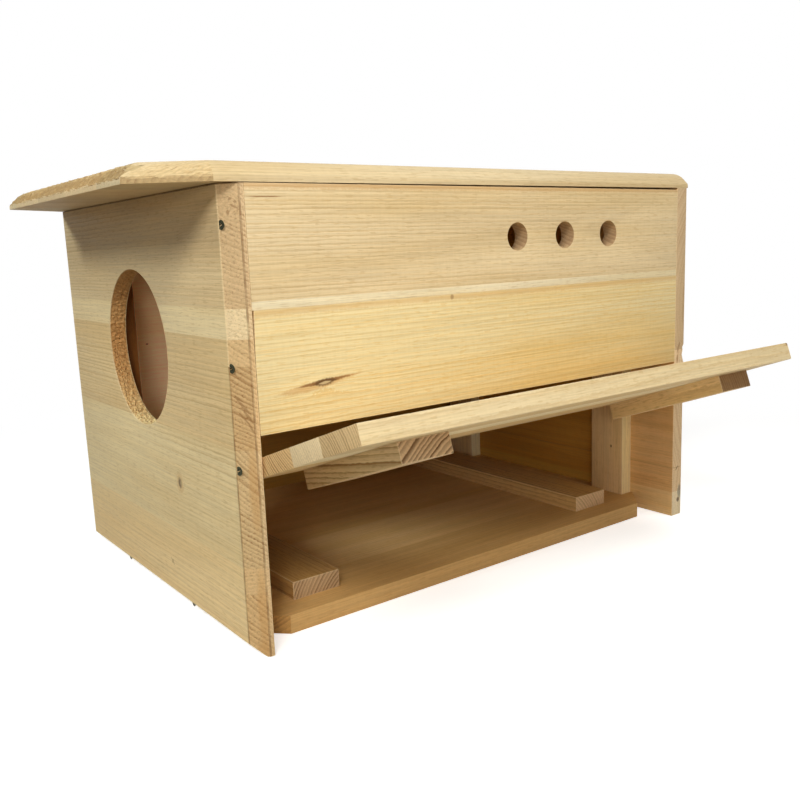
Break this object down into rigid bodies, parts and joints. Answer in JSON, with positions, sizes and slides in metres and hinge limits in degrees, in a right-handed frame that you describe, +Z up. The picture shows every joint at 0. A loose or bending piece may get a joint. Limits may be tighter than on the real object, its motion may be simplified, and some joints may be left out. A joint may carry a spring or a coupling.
{
  "type": "barn owl nest box",
  "caption": "Wooden barn owl nest box with a round entrance hole in one end, ventilation holes and a pivoting cleaning hatch along the front.",
  "frame": {"origin": "middle of the underside of the floor, on the plane that the box stands on", "axes": "+Z up, -Y out of the front with the hatch, -X out of the end with the entrance hole"},
  "size_m": [0.671, 0.588, 0.42],
  "materials": {
    "softwood_wall": "planed, unfinished",
    "softwood_roof": "planed, unfinished",
    "softwood_batten": "sawn, unfinished",
    "zinc_screw": "zinc plated, dull"
  },
  "bodies": {
    "box": {"roof": "softwood_roof", "entrance_wall": "softwood_wall", "end_wall": "softwood_wall", "back_wall": "softwood_wall", "front_board_upper": "softwood_wall", "front_board_lower": "softwood_wall", "floor": "softwood_wall", "floor_batten_left": "softwood_batten", "floor_batten_right": "softwood_batten", "cleat_front_left": "softwood_batten", "cleat_back_left": "softwood_batten", "cleat_front_right": "softwood_batten", "cleat_back_right": "softwood_batten", "pivot_screw_left": "zinc_screw", "pivot_screw_right": "zinc_screw"},
    "hatch": {"hatch_board_top": "softwood_wall", "hatch_board_middle": "softwood_wall", "hatch_board_bottom": "softwood_wall", "hatch_batten_left": "softwood_batten", "hatch_batten_right": "softwood_batten"}
  },
  "joints": [
    {"name": "hatch_pivot", "type": "hinge", "parent": "box", "child": "hatch", "pos_m": [0, -0.211, 0.167], "axis": [-1, 0, 0], "range_deg": [-109, 26]}
  ]
}
